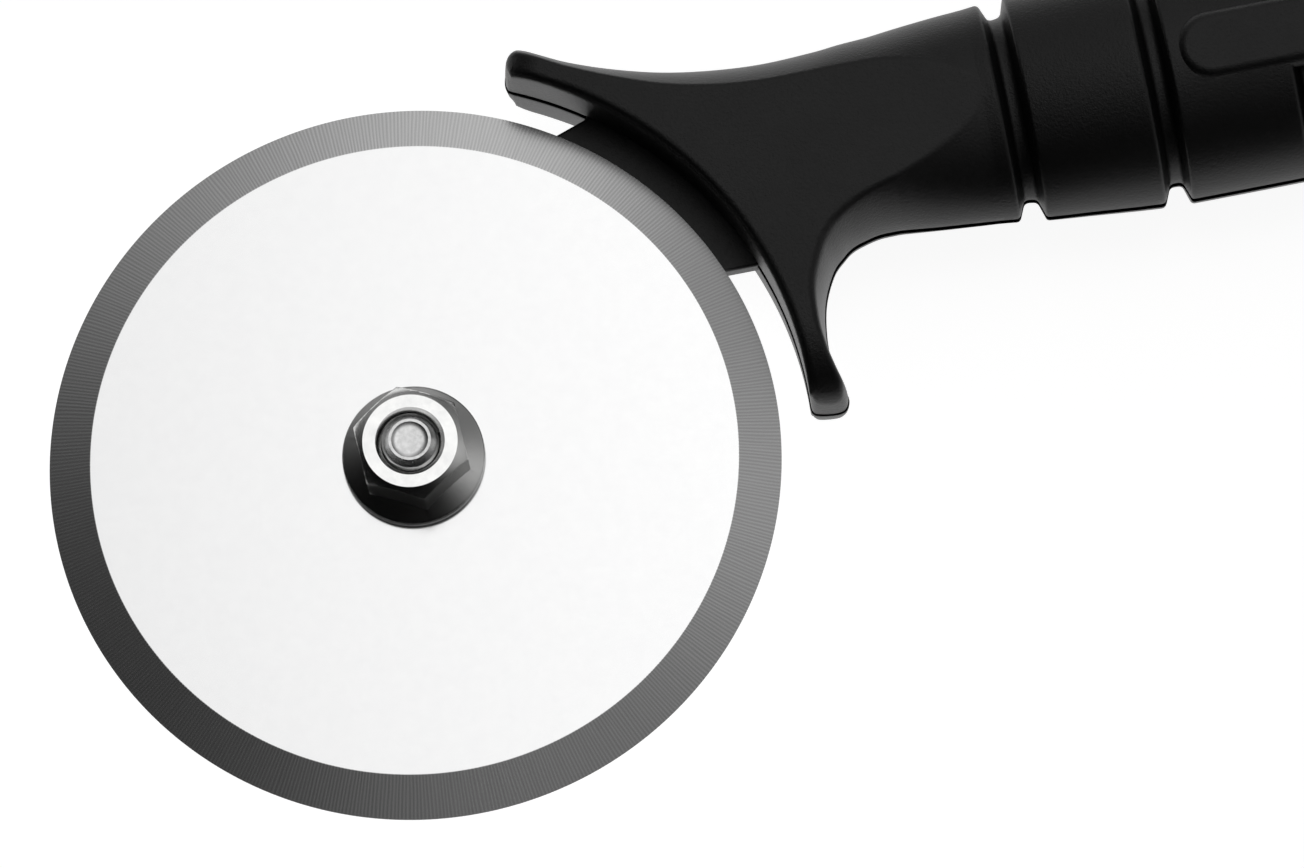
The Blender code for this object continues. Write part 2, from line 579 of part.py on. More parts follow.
def build_axle():
    chamfer = (hex_corner - HEX_CHAMFER_RADIUS) * math.tan(math.radians(HEX_CHAMFER_DEG))

    bolt = hexagon("axle_bolt", HEX_ACROSS_FLATS, 0.0, HEAD_HEIGHT, 0.0, parts, bolt_steel)
    head_cone = turned("head_cone", [(0.0, pocket_floor), (hex_corner + WALL, pocket_floor),
                                     (hex_corner + WALL, chamfer), (hex_corner, chamfer),
                                     (HEX_CHAMFER_RADIUS, 0.0), (0.0, 0.0)], cutters)
    thread_start = nut_z - CLEARANCE
    inside_head = 0.5 * HEAD_HEIGHT
    shank = turned("bolt_shank", [(0.0, bolt_top), (BOLT_END_RADIUS, bolt_top),
                                  (THREAD_RADIUS, bolt_top - BOLT_CHAMFER),
                                  (THREAD_RADIUS, thread_start),
                                  (BOLT_RADIUS, thread_start - CLEARANCE),
                                  (BOLT_RADIUS, inside_head), (0.0, inside_head)], cutters)
    # As above, the exact solver leaves open edges on the bolt
    combine(bolt, head_cone, "INTERSECT", "MANIFOLD")
    combine(bolt, shank, "UNION", "MANIFOLD")

    nut = hexagon("flange_nut", HEX_ACROSS_FLATS, 0.0, NUT_HEIGHT, NUT_TURN_DEG, parts, nut_steel)
    nut_cone = turned("nut_cone", [(0.0, NUT_HEIGHT), (HEX_CHAMFER_RADIUS, NUT_HEIGHT),
                                   (hex_corner, NUT_HEIGHT - chamfer),
                                   (hex_corner + WALL, NUT_HEIGHT - chamfer),
                                   (hex_corner + WALL, -WALL), (0.0, -WALL)], cutters)
    inner = FLANGE_RADIUS - FLANGE_ROUNDING
    flange = turned("nut_flange", [(0.0, FLANGE_HEIGHT), (FLANGE_TOP_RADIUS, FLANGE_HEIGHT),
                                   (inner, FLANGE_RIM), (FLANGE_RADIUS, FLANGE_RIM - FLANGE_ROUNDING),
                                   (FLANGE_RADIUS, FLANGE_ROUNDING), (inner, 0.0), (0.0, 0.0)],
                    cutters, steps=FLANGE_STEPS)
    bore = THREAD_RADIUS + CLEARANCE
    mouth = bore + NUT_COUNTERSINK
    nut_bore = turned("nut_bore", [(0.0, NUT_HEIGHT + WALL), (mouth, NUT_HEIGHT + WALL),
                                   (mouth, NUT_HEIGHT), (bore, NUT_HEIGHT - COUNTERSINK_DEPTH),
                                   (bore, -WALL), (0.0, -WALL)], cutters)
    combine(nut, nut_cone, "INTERSECT")
    combine(nut, flange, "UNION")
    combine(nut, nut_bore, "DIFFERENCE")
    for item in (nut, nut_cone, flange, nut_bore):
        item.location.z = nut_z

    low = seam_z + CLEARANCE
    high = blade_z + BLADE_THICKNESS
    turned("axle_sleeve", [(bore_radius, high), (sleeve_radius, high), (sleeve_radius, low),
                           (bore_radius, low)], parts, sleeve_bronze)
    washer_bore = sleeve_radius + CLEARANCE
    turned("rear_washer", [(washer_bore, blade_z - CLEARANCE), (WASHER_RADIUS, blade_z - CLEARANCE),
                           (WASHER_RADIUS, low), (washer_bore, low)], parts, washer_nylon)


clear_scene()
parts = new_collection("pizza_knife")
cutters = new_collection("cutters")

black_nylon = finish_material("black_nylon", (0.018, 0.018, 0.019), 0.0, 0.42)
blade_steel = finish_material("blade_steel", (0.78, 0.78, 0.79), 1.0, 0.24)
nut_steel = finish_material("nut_steel", (0.62, 0.62, 0.61), 1.0, 0.22)
bolt_steel = finish_material("bolt_steel", (0.60, 0.60, 0.60), 1.0, 0.30)
screw_steel = finish_material("screw_steel", (0.10, 0.10, 0.105), 1.0, 0.40)
sleeve_bronze = finish_material("sleeve_bronze", (0.55, 0.36, 0.16), 1.0, 0.35)
washer_nylon = finish_material("washer_nylon", (0.80, 0.79, 0.75), 0.0, 0.45)

build_handle()
build_screws()
build_blade()
build_axle()
bpy.context.view_layer.update()

for item in parts.objects:
    if item.type == "MESH":
        item.data.shade_smooth()
        item.data.set_sharp_from_angle(angle=math.radians(30.0))
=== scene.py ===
# Looks of a rotary pizza knife that lies on its back on a pale floor.
# Lengths are in millimetres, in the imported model's own frame, and places come from that model.

import math

import bmesh
import bpy
from mathutils import Matrix, Vector


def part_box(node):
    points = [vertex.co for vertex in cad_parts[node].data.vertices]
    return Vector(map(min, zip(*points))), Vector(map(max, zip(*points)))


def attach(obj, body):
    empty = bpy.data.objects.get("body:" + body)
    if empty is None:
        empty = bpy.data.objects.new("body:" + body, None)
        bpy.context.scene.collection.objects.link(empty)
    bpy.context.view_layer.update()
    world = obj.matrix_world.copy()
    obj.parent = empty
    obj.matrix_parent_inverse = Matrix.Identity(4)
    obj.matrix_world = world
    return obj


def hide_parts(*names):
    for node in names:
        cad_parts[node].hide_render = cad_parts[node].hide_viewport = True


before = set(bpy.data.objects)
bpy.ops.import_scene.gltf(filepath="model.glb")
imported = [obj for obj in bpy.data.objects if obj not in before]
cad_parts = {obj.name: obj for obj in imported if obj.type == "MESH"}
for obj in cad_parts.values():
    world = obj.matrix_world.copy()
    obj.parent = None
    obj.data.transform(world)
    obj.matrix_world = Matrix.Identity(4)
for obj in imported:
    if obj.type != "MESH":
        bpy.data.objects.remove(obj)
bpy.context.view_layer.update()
mm = 0.001
allNodes = sorted(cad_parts)


def nodeBox(node):
    low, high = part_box(node)
    return low / mm, high / mm


# What the pieces share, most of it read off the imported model

bladeLow, bladeHigh = nodeBox("blade")
nutLow, nutHigh = nodeBox("flange_nut")
boltLow, boltHigh = nodeBox("axle_bolt")
backHigh = nodeBox("handle_back_shell")[1]
wheelRadius = bladeHigh.x
seamHeight = backHigh.z
wallRadius = wheelRadius + 4.0        # the guard's inner wall
bevelWidth = 5.3                      # of the wheel's ground bevel
buttEnd = backHigh.x
sleeveRadius = nodeBox("axle_sleeve")[1].x
sleeveGap = 0.3                       # between the sleeve and what lies round it
print("frame: %d nodes, wheel radius %.1f mm, seam at %.1f mm"
      % (len(allNodes), wheelRadius, seamHeight))


# Shader maths: a wire is an output socket that takes part in Python expressions

class Wire:
    def __init__(self, finish, socket):
        self.finish = finish
        self.socket = socket

    def maths(self, operation, *others):
        return self.finish.node("ShaderNodeMath", {"operation": operation}, [self, *others])

    def reflected(self, operation, first):
        return self.finish.node("ShaderNodeMath", {"operation": operation}, [first, self])

    def __add__(self, other):
        return self.maths("ADD", other)

    def __sub__(self, other):
        return self.maths("SUBTRACT", other)

    def __rsub__(self, other):
        return self.reflected("SUBTRACT", other)

    def __mul__(self, other):
        return self.maths("MULTIPLY", other)

    def __truediv__(self, other):
        return self.maths("DIVIDE", other)

    def __rtruediv__(self, other):
        return self.reflected("DIVIDE", other)

    __radd__ = __add__
    __rmul__ = __mul__

    def ramp(self, low, high):        # eased from 0 at low to 1 at high
        return self.finish.node("ShaderNodeMapRange", {"interpolation_type": "SMOOTHSTEP"},
                                {"Value": self, "From Min": low, "From Max": high})


class Finish:                         # a material or world whose nodes are added by expressions
    def __init__(self, owner):
        owner.use_nodes = True
        self.owner = owner
        self.tree = owner.node_tree

    def node(self, kind, settings=None, inputs=None, output=0):
        made = self.tree.nodes.new(kind)
        for name, value in (settings or {}).items():
            setattr(made, name, value)
        named = inputs.items() if isinstance(inputs, dict) else enumerate(inputs or [])
        for key, value in named:
            self.feed(made.inputs[key], value)
        return Wire(self, made.outputs[output])

    def feed(self, socket, value):
        if isinstance(value, Wire):
            self.tree.links.new(value.socket, socket)
        else:
            socket.default_value = value

    def mixColour(self, amount, first, second):
        return self.node("ShaderNodeMix", {"data_type": "RGBA"},
                         {0: amount, 6: first, 7: second}, output=2)

    def mixVector(self, amount, first, second):
        return self.node("ShaderNodeMix", {"data_type": "VECTOR"},
                         {0: amount, 4: first, 5: second}, output=1)

    def place(self):                  # position in the piece's own frame, in millimetres
        own = self.node("ShaderNodeTexCoord", output=3)
        return self.node("ShaderNodeVectorMath", {"operation": "SCALE"}, {0: own, "Scale": 1 / mm})

    def split(self, vector):
        made = self.node("ShaderNodeSeparateXYZ", inputs=[vector])
        outputs = made.socket.node.outputs
        return [Wire(self, outputs[i]) for i in range(3)]

    def join(self, x, y, z):
        return self.node("ShaderNodeCombineXYZ", inputs=[x, y, z])

    def noise(self, vector, size, detail, roughness=0.5):
        return self.node("ShaderNodeTexNoise", {"noise_dimensions": "3D"},
                         {"Vector": vector, "Scale": 1.0 / size, "Detail": detail,
                          "Roughness": roughness})

    def bump(self, height, depth, normal=None):      # depth in millimetres for a height of 1
        sockets = {"Height": height, "Distance": depth * mm}
        if normal:
            sockets["Normal"] = normal
        return self.node("ShaderNodeBump", inputs=sockets)

    def shader(self, **sockets):
        made = self.tree.nodes["Principled BSDF"]
        for name, value in sockets.items():
            self.feed(made.inputs[name.replace("_", " ")], value)


def newFinish(name):
    return Finish(bpy.data.materials.new(name))


# Meshes

mergeDistance = 0.0005 * mm           # points nearer to each other than this become one
idleOffset = 0.003 * mm               # a point nearer than this to its neighbours' line is idle
overshoot = 1.0                       # how far a cutting shape runs past what it cuts


def bend(start, corner, end, t):      # a point of the curve that rounds a corner
    return start * (1 - t) ** 2 + corner * (2 * t * (1 - t)) + end * t ** 2


def soften(points, reaches, steps=4, closed=False):
    # rounds the corners of a path: reach is how far from the corner the rounding starts
    count = len(points)
    path = []
    for i, point in enumerate(points):
        here = Vector(point)
        reach = reaches[i] if isinstance(reaches, (list, tuple)) else reaches
        if reach == 0 or (not closed and i in (0, count - 1)):
            path.append(here)
            continue
        before = Vector(points[i - 1]) - here
        after = Vector(points[(i + 1) % count]) - here
        start = here + before.normalized() * min(reach, 0.49 * before.length)
        end = here + after.normalized() * min(reach, 0.49 * after.length)
        path += [bend(start, here, end, step / steps) for step in range(steps + 1)]
    return path


def smoothPath(points, perSpan):
    points = [Vector(point) for point in points]
    path = []
    for i in range(len(points) - 1):
        before = points[max(i - 1, 0)]
        start = points[i]
        end = points[i + 1]
        after = points[min(i + 2, len(points) - 1)]
        for step in range(perSpan):
            t = step / perSpan
            path.append(0.5 * (2 * start + (end - before) * t
                               + (2 * before - 5 * start + 4 * end - after) * t ** 2
                               + (3 * start - before - 3 * end + after) * t ** 3))
    path.append(points[-1])
    return path


def mergeDoubles(work):
    bmesh.ops.remove_doubles(work, verts=work.verts, dist=mergeDistance)
    bmesh.ops.dissolve_degenerate(work, edges=work.edges, dist=mergeDistance)


def newPiece(name, corners, faces):
    # a mesh from corners in millimetres, with doubles merged and normals facing out
    mesh = bpy.data.meshes.new(name)
    mesh.from_pydata([tuple(Vector(corner) * mm) for corner in corners], [], faces)
    work = bmesh.new()
    work.from_mesh(mesh)
    mergeDoubles(work)
    bmesh.ops.recalc_face_normals(work, faces=work.faces)
    work.to_mesh(mesh)
    work.free()
    piece = bpy.data.objects.new(name, mesh)
    bpy.context.scene.collection.objects.link(piece)
    return piece


def ringPoint(radius, turn):
    return radius * math.cos(turn), radius * math.sin(turn)


def lathe(name, profile, steps):
    # (radius, height) pairs turned about Z; a radius of 0 is a pole, and other profiles are closed
    corners = []
    rings = []
    for radius, height in profile:
        ring = [len(corners)]
        if radius > 0:
            ring = [len(corners) + i for i in range(steps)]
        for i in range(len(ring)):
            corners.append((*ringPoint(radius, 2 * math.pi * i / steps), height))
        rings.append(ring)
    pairs = list(zip(rings, rings[1:]))
    if profile[0][0] > 0:
        pairs.append((rings[-1], rings[0]))
    faces = []
    for lower, upper in pairs:
        for i in range(steps):
            j = (i + 1) % steps
            corner = [lower[i % len(lower)], lower[j % len(lower)],
                      upper[j % len(upper)], upper[i % len(upper)]]
            corner = list(dict.fromkeys(corner))
            if len(corner) > 2:
                faces.append(corner)
    return newPiece(name, corners, faces)


def roundEdges(piece, width, segments, degrees):
    # rounds the edges whose faces turn by more than these degrees
    soft = piece.modifiers.new("rounding", "BEVEL")
    soft.width = width * mm
    soft.segments = segments
    soft.limit_method = "ANGLE"
    soft.angle_limit = math.radians(degrees)


def slab(name, outline, low, high, rounding=0.0, segments=3):
    # an outline in the XY plane between two heights, its edges along the outline rounded
    count = len(outline)
    corners = [(x, y, z) for z in (low, high) for x, y in outline]
    faces = [list(range(count)), [count + i for i in range(count)]]
    for i in range(count):
        j = (i + 1) % count
        faces.append([i, j, count + j, count + i])
    piece = newPiece(name, corners, faces)
    if rounding:
        roundEdges(piece, rounding, segments, degrees=50)
    return piece


def rectangle(left, low, right, high):
    return [(left, low), (right, low), (right, high), (left, high)]


def hexagonOutline(acrossFlats, cornerDegrees):
    radius = acrossFlats / math.sqrt(3)
    return [ringPoint(radius, math.radians(cornerDegrees + 60 * i)) for i in range(6)]


def combine(piece, tool, operation):
    change = piece.modifiers.new(operation.lower(), "BOOLEAN")
    change.operation = operation
    change.solver = "MANIFOLD"
    change.object = tool
    settle(piece)
    bpy.data.objects.remove(tool, do_unlink=True)


def settle(piece):                    # turns the modifiers into plain mesh
    bpy.context.view_layer.update()
    seen = bpy.context.evaluated_depsgraph_get()
    mesh = bpy.data.meshes.new_from_object(piece.evaluated_get(seen))
    piece.modifiers.clear()
    piece.data = mesh


def dropIdlePoints(piece):
    # a point that only splits a straight edge leaves stray faces once the piece is in triangles
    work = bmesh.new()
    work.from_mesh(piece.data)
    mergeDoubles(work)
    for vert in list(work.verts):
        if len(vert.link_edges) != 2:
            continue
        before, after = [edge.other_vert(vert).co for edge in vert.link_edges]
        along = after - before
        if (vert.co - before).cross(along).length < idleOffset * along.length:
            bmesh.ops.dissolve_verts(work, verts=[vert])
    work.to_mesh(piece.data)
    work.free()


def dress(piece, finish, body, replaced, sharpDegrees=32):
    settle(piece)
    dropIdlePoints(piece)
    piece.data.shade_smooth()
    piece.data.set_sharp_from_angle(angle=math.radians(sharpDegrees))
    even = piece.modifiers.new("even normals", "WEIGHTED_NORMAL")
    even.keep_sharp = True
    piece.data.materials.clear()
    piece.data.materials.append(finish.owner)
    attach(piece, body)
    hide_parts(*replaced)
    print("piece: %s, %d faces" % (piece.name, len(piece.data.polygons)))


# Finishes

nylonLook = {
    "colour": (0.0011, 0.0011, 0.0012, 1),
    "lighter": (0.0024, 0.0024, 0.0025, 1),
    "gloss": 0.46,
    "roughness": 0.42,
    "roughnessSpread": 0.10,
    "grainSize": 0.34,
    "grainDepth": 0.08,
    "patchSize": 6.0,
}


def mouldedNylon(name):
    look = nylonLook
    finish = newFinish(name)
    place = finish.place()
    grain = finish.noise(place, look["grainSize"], detail=3.0, roughness=0.6)
    pores = finish.noise(place, 0.45 * look["grainSize"], detail=1.0)
    patches = finish.noise(place, look["patchSize"], detail=3.0)
    speckle = (pores * 0.6 + patches * 0.4).ramp(0.35, 0.72)
    uneven = (patches * 0.6 + grain * 0.4 - 0.5) * look["roughnessSpread"]
    finish.shader(Base_Color=finish.mixColour(speckle, look["colour"], look["lighter"]),
                  Specular_IOR_Level=look["gloss"],
                  Roughness=look["roughness"] + uneven,
                  Normal=finish.bump(grain * 0.7 + pores * 0.3, look["grainDepth"]))
    return finish


bladeLook = {
    "colour": (0.785, 0.785, 0.785, 1),
    "darker": (0.778, 0.778, 0.780, 1),
    "bevelColour": (0.74, 0.74, 0.74, 1),
    "bevelDarker": (0.52, 0.52, 0.52, 1),
    "flatRoughness": 0.20,
    "bevelRoughness": 0.25,
    "roughnessSpread": 0.02,
    "mottleSize": 1.6,
    "grindLines": 615,                # round the wheel, about 0.47 mm apart at the edge
    "grindWander": 9.0,
    "grindDepth": 0.0050,
    "bevelEase": 0.42,                # the ground bevel mirrors as if it were flatter than it is
    "brushLength": 5.0,
    "brushWidth": 0.10,
    "brushDepth": 0.0006,
}


def groundSteel(name):
    look = bladeLook
    finish = newFinish(name)
    x, y, z = finish.split(finish.place())
    radius = (x * x + y * y).maths("SQRT")
    onFront = z.ramp(bladeLow.z + 0.05, bladeLow.z + 0.15)
    bevelStart = wheelRadius - bevelWidth
    onBevel = onFront * radius.ramp(bevelStart - 0.05, bevelStart + 0.05)
    across = x / radius
    along = y / radius

    def streaks(around, outwards):    # noise that is drawn out along the radius
        place = finish.join(across * around, along * around, radius * outwards)
        return finish.noise(place, 1.0, detail=2.0)

    # evenly spaced radial lines that wander a little, with finer uneven ones between them
    turn = y.maths("ARCTAN2", x) * look["grindLines"]
    lines = (turn + streaks(14, 0.08) * look["grindWander"]).maths("SINE") * 0.5 + 0.5
    fineLines = streaks(180, 0.2)
    strokes = finish.join(x / look["brushLength"], y / look["brushWidth"], z)
    brushed = finish.noise(strokes, 1.0, detail=3.0)
    mottle = finish.noise(finish.join(x, y, z), look["mottleSize"], detail=5.0, roughness=0.65)
    cloud = (brushed * 0.4 + mottle * 0.6).ramp(0.3, 0.7)
    flatColour = finish.mixColour(cloud, look["colour"], look["darker"])
    bevelColour = finish.mixColour(lines * 0.6 + fineLines * 0.4,
                                   look["bevelDarker"], look["bevelColour"])
    ground = onBevel * (lines * 0.6 + fineLines * 0.8) * look["grindDepth"]
    height = ground + (1 - onBevel) * (brushed * look["brushDepth"])
    rougher = onBevel * (look["bevelRoughness"] - look["flatRoughness"])
    # the shading normal of the bevel's front leans towards the flat's
    facing = finish.node("ShaderNodeNewGeometry", output=1)
    upwards = finish.split(facing)[2].ramp(0.85, 0.9) * onBevel * look["bevelEase"]
    leaning = finish.mixVector(upwards, facing, (0, 0, 1))
    finish.shader(Metallic=1.0,
                  Base_Color=finish.mixColour(onBevel, flatColour, bevelColour),
                  Roughness=look["flatRoughness"] + rougher + (mottle - 0.5) * look["roughnessSpread"],
                  Normal=finish.bump(height, 1.0, normal=leaning))
    return finish


metalLook = {
    "scratchSize": 0.12,
    "scratchDepth": 0.0032,
    "roughnessSpread": 0.08,
}


def turnedMetal(name, colour, darker, roughness, wearSize=0.5):
    look = metalLook
    finish = newFinish(name)
    place = finish.place()
    wear = finish.noise(place, wearSize, detail=4.0, roughness=0.6)
    fine = finish.noise(place, look["scratchSize"], detail=2.0)
    finish.shader(Metallic=1.0,
                  Base_Color=finish.mixColour(wear.ramp(0.3, 0.75), (*colour, 1), (*darker, 1)),
                  Roughness=roughness + (wear - 0.5) * look["roughnessSpread"],
                  Normal=finish.bump(fine * 0.5 + wear * 0.5, look["scratchDepth"]))
    return finish


washerLook = {
    "colour": (0.80, 0.79, 0.75, 1),
    "darker": (0.70, 0.69, 0.64, 1),
    "roughness": 0.42,
    "roughnessSpread": 0.1,
    "cloudSize": 1.2,
    "cloudDepth": 0.01,
}


def plainNylon(name):
    look = washerLook
    finish = newFinish(name)
    cloud = finish.noise(finish.place(), look["cloudSize"], detail=3.0)
    finish.shader(Base_Color=finish.mixColour(cloud.ramp(0.3, 0.7), look["colour"], look["darker"]),
                  Roughness=look["roughness"] + (cloud - 0.5) * look["roughnessSpread"],
                  Normal=finish.bump(cloud, look["cloudDepth"]))
    return finish


blackNylon = mouldedNylon("moulded black nylon")
bladeSteel = groundSteel("ground blade steel")
nutSteel = turnedMetal("bright nut steel", (0.80, 0.80, 0.79), (0.76, 0.76, 0.755), 0.20, wearSize=1.6)
boltSteel = turnedMetal("satin bolt steel", (0.70, 0.70, 0.70), (0.60, 0.60, 0.60), 0.26, wearSize=0.8)
screwSteel = turnedMetal("blackened screw steel", (0.10, 0.10, 0.105), (0.06, 0.06, 0.06), 0.38)
sleeveBronze = turnedMetal("sintered sleeve bronze", (0.55, 0.36, 0.16), (0.40, 0.25, 0.11), 0.36)
washerNylon = plainNylon("natural washer nylon")
print("finishes made")


# The handle's two shells: columns run from the seam up to the crown of each half

handle = {
    "axis": 30.85,                    # handle axis above the wheel's axis
    "guardFront": 9.0,                # height of the guard's flat face over the seam
    "guardBack": 7.3,
    "guardCrown": 1.333,              # height that the guard's flanks aim at, as a share of the face's
    "backRounding": 0.35,             # share by which the back's flat face ends further in
    "guardFade": 10.0,                # over what length the guard's section turns into the neck's
    "gripFront": 11.3,
    "gripBack": seamHeight,
    "gripHalf": 16.2,
    "buttHalf": 16.9,
    "gripLength": buttEnd - wallRadius,
    "buttRounding": 6.0,
    "buttFace": 0.62,                 # size of the butt's end face, as a share of its section
    "neckStart": 16.0,                # from the guard's inner wall
    "neckDrop": 0.1,                  # how far the neck starts below the grip's axis
    "dropFade": 8.0,
    "tongueEnd": 28.65,
    "tongueShift": 0.9,               # how far the tongue's tip lies above the axis
    "shiftFade": 11.4,
    "creaseTongue": 0.5,              # how far from the crease its rounding starts
    "creaseLower": 1.0,
    "creaseUpper": 0.45,
    "creaseWall": 1.25,
    "creaseBack": 1.4,
    "creaseShare": 0.4,               # most of the flat face's width that a crease may take
    "seamDepth": 0.8,
    "wallFront": 0.1,                 # how far the guard's inner wall leans in on each half
    "wallBack": 0.15,
    "wallInset": 0.9,                 # degrees between a horn's inner corner and the wall
    "wallColumns": 91,
    "hornColumns": 7,                 # between two points of a horn's outline
    "neckColumns": 24,
    "endColumns": 10,                 # between the last groove and the butt's rounding
    "buttColumns": 14,
    "flankRows": 14,
    "creaseRows": 5,
}

groove = {
    "count": 5,
    "start": 32.4,                    # from the guard's inner wall
    "pitch": 18.4,
    "left": 1.8,                      # from the middle to each rim, and to each side of the floor
    "right": 1.6,
    "floor": 0.8,
    "depth": 2.45,
    "rimLeft": 0.6,                   # how far from each corner its rounding starts
    "rimRight": 0.35,
    "corner": 0.6,
    "margin": 1.0,                    # of plain grip beside each rim
    "landColumns": 6,                 # between two grooves
}

# the seam is a narrow dark groove: how far in and how far from the parting plane its sides lie
frontLip = [(handle["seamDepth"], 0.3), (0.3, 0.3), (0.2, 0.34), (0.16, 0.46)]
backLip = [(handle["seamDepth"], 0.0), (0.7, 0.75), (0.13, 0.5), (0.03, 0.55), (0.0, 0.68)]

# the guard's flat face runs out in a tongue: root of the distance to its tip, and its two sides
# as seen from the handle's axis
tongue = [(0.0, 0.9, 0.9), (0.7, -0.44, 2.55), (1.45, -2.5, 3.95), (2.1, -4.15, 5.2),
          (2.7, -5.75, 6.4), (3.3, -7.4, 7.2), (3.56, -8.1, 7.4)]

# angle round the wheel and thickness over the inner wall, for the edge and for the flat face's edge
lowerHorn = [((15.4, 17.2), (19.1, 18.3)), ((15.8, 15.3), (19.1, 16.2)), ((15.9, 13.3), (18.9, 13.6)),
             ((15.8, 11.6), (18.4, 11.4)), ((15.3, 10.2), (17.6, 9.4)), ((14.1, 8.1), (15.8, 7.2)),
             ((11.0, 5.7), (12.0, 4.5)), ((7.0, 4.3), (7.5, 3.4)), ((3.0, 3.9), (3.4, 3.4)),
             ((0.3, 4.4), (0.8, 3.8)), ((-1.7, 5.0), (-1.2, 4.3)), ((-2.8, 5.0), (-2.2, 4.3)),
             ((-3.8, 4.5), (-3.2, 4.0)), ((-4.2, 3.5), (-3.7, 3.3)), ((-4.2, 2.0), (-3.7, 2.0)),
             ((-3.9, 0.6), (-3.4, 1.0)), ((-3.3, 0.1), (-2.8, 0.6))]
upperHorn = [((66.2, 0.1), (65.7, 0.6)), ((66.8, 0.8), (66.2, 1.2)), ((67.1, 2.0), (66.5, 2.0)),
             ((67.0, 3.6), (66.3, 2.8)), ((66.5, 4.8), (65.7, 3.2)), ((65.3, 5.2), (64.7, 3.2)),
             ((62.0, 5.1), (61.3, 3.0)), ((58.6, 5.4), (57.7, 3.1)), ((53.4, 6.8), (52.1, 4.1)),
             ((47.8, 9.5), (45.9, 6.3)), ((43.1, 13.2), (40.7, 9.8)), ((39.2, 17.7), (36.6, 14.3)),
             ((36.1, 23.1), (33.4, 19.6)), ((34.8, 26.1), (32.0, 22.3))]

# the horns thin towards their ends: angle of the end, share of the height left there, and length
nose = {
    "front": [(-4.2, 0.32, 9.8), (67.1, 0.6, 5.0)],
    "back": [(-4.2, 0.32, 6.0), (67.1, 0.25, 4.0)],
    "between": 30.0,                  # an angle between the two horns
    "gripAhead": 60.0,                # the horns lie nearer to the wheel's axis than this along X
    "cuts": 15,
    "crowding": 1.6,                  # draws the cuts together towards the end
    "firstCut": 0.02,
    "snap": 0.002,                    # a point nearer to a cut than this lies on it
}

guardCrowns = (handle["guardFront"], handle["guardBack"])
gripCrowns = (handle["gripFront"], handle["gripBack"])
gripSections = [                      # from the wall, half width, front crown and back crown
    (handle["neckStart"], 12.95, *guardCrowns), (20.6, 13.50, *guardCrowns),
    (25.0, 13.93, *guardCrowns), (handle["tongueEnd"], 14.25, *guardCrowns),
    (34.0, 14.9, 9.6, 8.3), (40.0, 15.38, 10.3, 9.6), (47.0, 15.97, 11.0, 10.8),
    (52.0, handle["gripHalf"], *gripCrowns),
    (handle["gripLength"] - 28.0, handle["gripHalf"], *gripCrowns),
    (handle["gripLength"] - 12.0, handle["buttHalf"], *gripCrowns),
    (handle["gripLength"], handle["buttHalf"], *gripCrowns)]
grooveCentres = [groove["start"] + groove["pitch"] * i for i in range(groove["count"])]
tolerance = 0.001                     # lengths that differ by less are the same


def readTable(table, place):          # smooth values between the rows of a table
    last = len(table) - 1
    i = 0
    while i < last - 1 and place > table[i + 1][0]:
        i += 1
    span = table[i + 1][0] - table[i][0]
    t = (place - table[i][0]) / span
    values = []
    for column in range(1, len(table[0])):
        slopes = []
        for j in (i, i + 1):
            left = table[max(j - 1, 0)]
            right = table[min(j + 1, last)]
            slopes.append((right[column] - left[column]) / (right[0] - left[0]) * span)
        values.append((2 * t ** 3 - 3 * t ** 2 + 1) * table[i][column]
                      + (t ** 3 - 2 * t ** 2 + t) * slopes[0]
                      + (3 * t ** 2 - 2 * t ** 3) * table[i + 1][column]
                      + (t ** 3 - t ** 2) * slopes[1])
    return values


def eased(t):
    t = min(max(t, 0.0), 1.0)
    return t * t * (3 - 2 * t)


def gripStations():                   # along, how deep the section is drawn in, scale at the butt
    neckLength = handle["tongueEnd"] - handle["neckStart"]
    steps = handle["neckColumns"]
    stations = [(handle["tongueEnd"] - neckLength * (1 - i / steps) ** 2, 0.0, 1.0)
                for i in range(steps + 1)]
    left = groove["left"]
    right = groove["right"]
    floor = groove["floor"]
    depth = groove["depth"]
    margin = groove["margin"]
    steps = groove["landColumns"]
    for i, centre in enumerate(grooveCentres):
        corners = [(centre - left - margin, 0.0), (centre - left, 0.0), (centre - floor, depth),
                   (centre + floor, depth), (centre + right, 0.0), (centre + right + margin, 0.0)]
        reaches = [0, groove["rimLeft"], groove["corner"], groove["corner"], groove["rimRight"], 0]
        stations += [(along, drawn, 1.0) for along, drawn in soften(corners, reaches)]
        if i + 1 < len(grooveCentres):
            start = centre + right + margin
            room = groove["pitch"] - left - right - 2 * margin
            stations += [(start + room * step / steps, 0.0, 1.0) for step in range(1, steps)]
    length = handle["gripLength"]
    rounding = handle["buttRounding"]
    first = stations[-1][0]
    last = length - rounding
    steps = handle["endColumns"]
    stations += [(first + (last - first) * step / steps, 0.0, 1.0) for step in range(1, steps)]
    steps = handle["buttColumns"]
    for step in range(steps + 1):
        turn = 0.5 * math.pi * step / steps
        stations.append((length - rounding * (1 - math.sin(turn)), 0.0,
                         handle["buttFace"] + (1 - handle["buttFace"]) * math.cos(turn)))
    return stations


